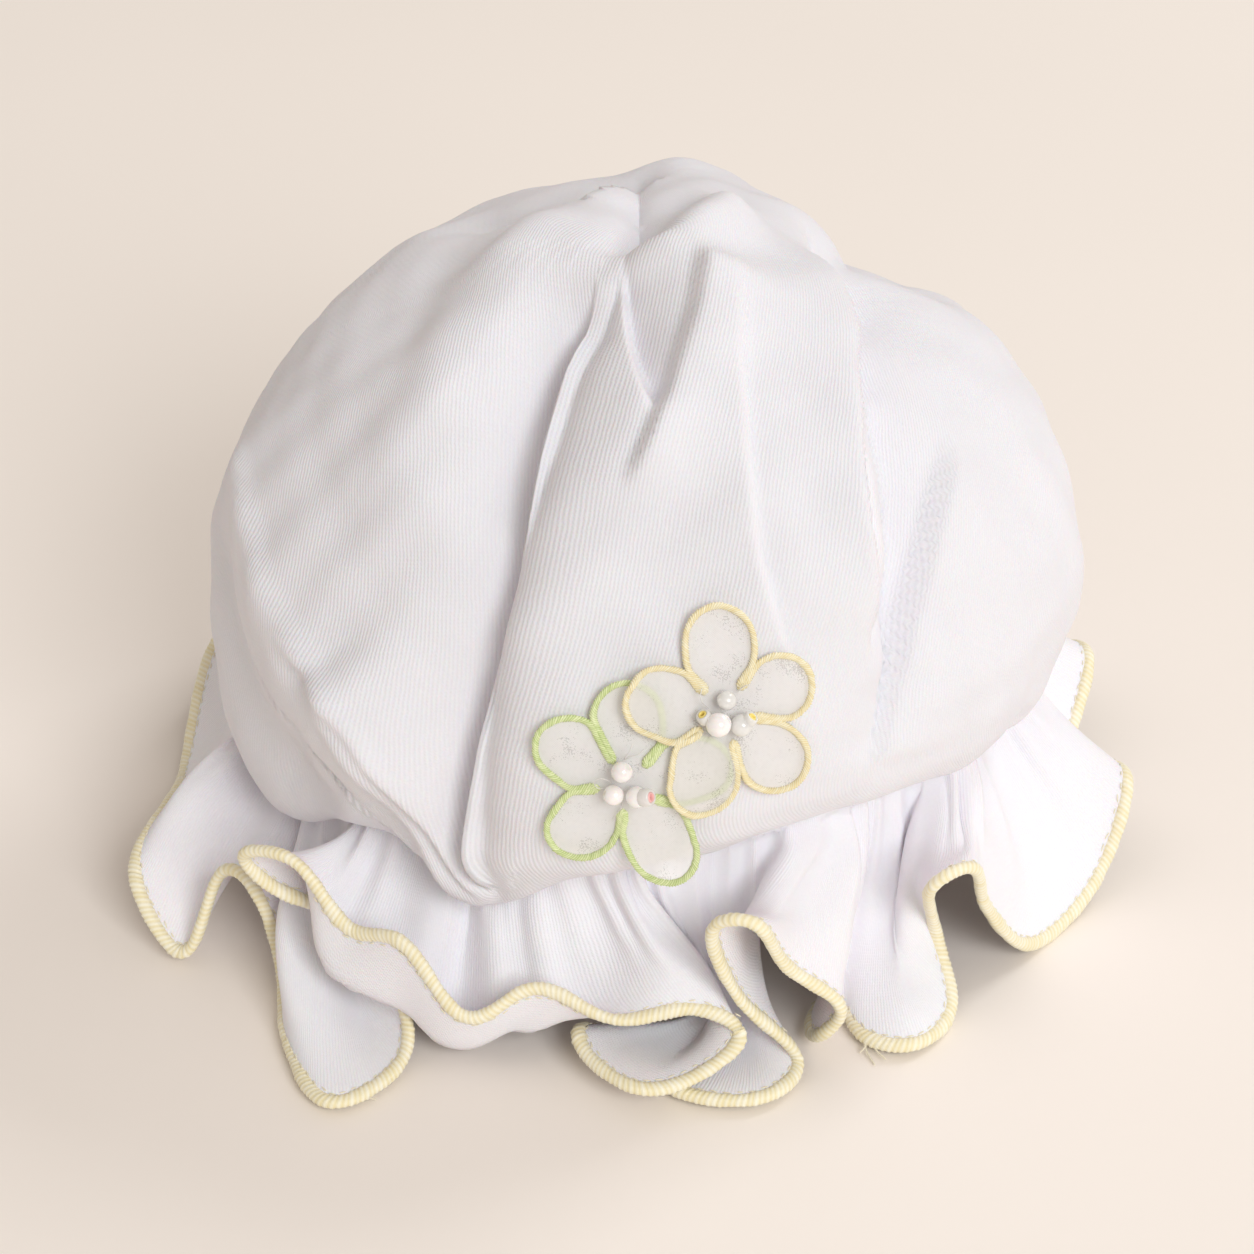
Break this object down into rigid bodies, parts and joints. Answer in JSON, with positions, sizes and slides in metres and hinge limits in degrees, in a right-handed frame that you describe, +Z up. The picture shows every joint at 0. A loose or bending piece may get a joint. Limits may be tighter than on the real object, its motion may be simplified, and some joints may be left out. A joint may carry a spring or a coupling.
{
  "type": "baby cap",
  "caption": "Baby's puffed jersey cap with a wavy ruffle, a thick overlocked edge and small flower patches with pearl centres.",
  "frame": {"origin": "middle of the cap's box, on the surface it stands on", "axes": "+Z up, -Y towards the front with the flowers, +X towards the right of the picture"},
  "size_m": [0.1574, 0.1534, 0.1092],
  "materials": {
    "jersey": "fine cotton knit, matte",
    "overlock": "dense sewing thread, slight sheen",
    "green_organza": "sheer organza",
    "green_satin": "satin stitch",
    "yellow_organza": "sheer organza",
    "yellow_satin": "satin stitch",
    "pearl": "pearl gloss"
  },
  "bodies": {
    "root": {"crown": "jersey", "ruffle": "jersey", "ruffle_hem": "overlock", "green_petals": "green_organza", "green_outline": "green_satin", "green_pearl_1": "pearl", "green_pearl_2": "pearl", "green_pearl_3": "pearl", "yellow_petals": "yellow_organza", "yellow_outline": "yellow_satin", "yellow_pearl_1": "pearl", "yellow_pearl_2": "pearl", "yellow_pearl_3": "pearl"}
  },
  "joints": []
}
